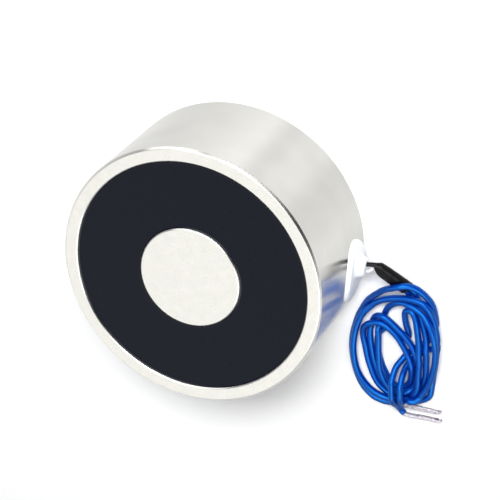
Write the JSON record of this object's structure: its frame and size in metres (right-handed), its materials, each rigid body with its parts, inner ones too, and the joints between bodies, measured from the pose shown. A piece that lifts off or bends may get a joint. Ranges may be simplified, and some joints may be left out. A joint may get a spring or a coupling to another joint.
{
  "type": "holding electromagnet",
  "caption": "Round potted holding electromagnet: steel cup with a central pole, black resin face, side exit bush and a loose coil of stripped flying leads.",
  "frame": {"origin": "centre of the pot's back face, which it stands on", "axes": "+Z along the pot's axis, from the back face to the holding face; +X from the axis towards the exit bush in the wall"},
  "size_m": [0.0874, 0.0754, 0.03],
  "materials": {
    "pot": "bright nickel plate over turned steel",
    "coil_bobbin": "natural moulded nylon",
    "winding": "enamelled copper wire, level wound",
    "winding_tape": "clear yellow polyester tape",
    "potting_resin": "black cast epoxy, glossy",
    "exit_bush": "soft white moulding",
    "start_lead": "enamelled copper",
    "finish_lead": "enamelled copper",
    "start_sleeve": "black sleeving, satin",
    "finish_sleeve": "natural white sleeving, translucent",
    "start_splice": "soft solder",
    "finish_splice": "soft solder",
    "heat_shrink": "black heat-shrink tube, satin",
    "lead_a_run": "blue wire insulation",
    "lead_b_run": "blue wire insulation",
    "lead_coil": "blue wire insulation",
    "lead_a_tail": "blue wire insulation",
    "lead_b_tail": "blue wire insulation",
    "lead_a_tip": "tinned copper strands",
    "lead_b_tip": "tinned copper strands"
  },
  "bodies": {
    "root": {"pot": "pot", "coil_bobbin": "coil_bobbin", "winding": "winding", "winding_tape": "winding_tape", "potting_resin": "potting_resin", "exit_bush": "exit_bush", "start_lead": "start_lead", "finish_lead": "finish_lead", "start_sleeve": "start_sleeve", "finish_sleeve": "finish_sleeve", "start_splice": "start_splice", "finish_splice": "finish_splice", "heat_shrink": "heat_shrink", "lead_a_run": "lead_a_run", "lead_b_run": "lead_b_run", "lead_coil": "lead_coil", "lead_a_tail": "lead_a_tail", "lead_b_tail": "lead_b_tail", "lead_a_tip": "lead_a_tip", "lead_b_tip": "lead_b_tip"}
  },
  "joints": []
}
